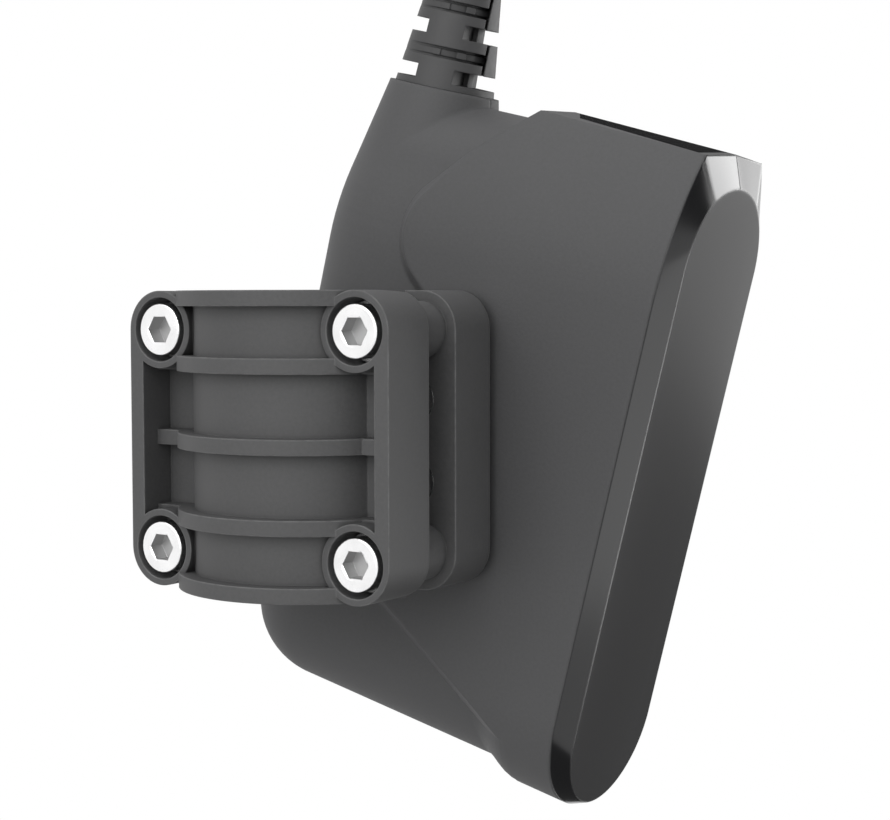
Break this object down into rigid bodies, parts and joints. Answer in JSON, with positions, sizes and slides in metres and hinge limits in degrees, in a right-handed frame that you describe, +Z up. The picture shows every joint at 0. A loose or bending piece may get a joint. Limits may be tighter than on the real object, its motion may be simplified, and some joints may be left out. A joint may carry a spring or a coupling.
{
  "type": "sonar transducer",
  "caption": "Slim sonar transducer housing with a bevelled acoustic window and slotted cable relief, carried on a ribbed split pole clamp.",
  "frame": {"origin": "Centre of the pole bore at half the clamp's height.", "axes": "+Z runs up the pole, -Y is the side the clamp screws go in from, +X is the way the acoustic window looks, leaning down by the housing's tilt."},
  "size_m": [0.1144, 0.0892, 0.1767],
  "materials": {
    "clamp_plastic": "fine-textured moulded dark grey",
    "housing_plastic": "fine-textured moulded dark grey",
    "window_plastic": "smooth black, satin on the flat face",
    "liner_rubber": "matt black",
    "seal_rubber": "matt black",
    "relief_rubber": "matt black",
    "stainless": "bright stainless",
    "insert_brass": "turned",
    "matching_resin": "cast filled resin",
    "piezo_ceramic": "fired and diced ceramic",
    "backing_resin": "cast loaded resin",
    "carrier_plastic": "moulded",
    "flex_film": "polyimide film",
    "board_laminate": "solder-masked laminate",
    "chip_plastic": "moulded",
    "shield_metal": "tinned sheet",
    "header_plastic": "moulded"
  },
  "bodies": {
    "root": {"clamp_cap": "clamp_plastic", "clamp_base": "clamp_plastic", "cap_liner": "liner_rubber", "base_liner": "liner_rubber", "cap_screws": "stainless", "cap_washers": "stainless", "clamp_inserts": "insert_brass", "base_screws": "stainless", "land_inserts": "insert_brass", "near_shell": "housing_plastic", "far_shell": "housing_plastic", "acoustic_window": "window_plastic", "window_gasket": "seal_rubber", "matching_layer": "matching_resin", "element_array": "piezo_ceramic", "backing_block": "backing_resin", "array_carrier": "carrier_plastic", "array_flex": "flex_film", "main_board": "board_laminate", "board_chips": "chip_plastic", "shield_can": "shield_metal", "board_screws": "stainless", "cable_header": "header_plastic", "strain_relief": "relief_rubber", "gland_nut": "insert_brass", "gland_seal": "seal_rubber"}
  },
  "joints": []
}
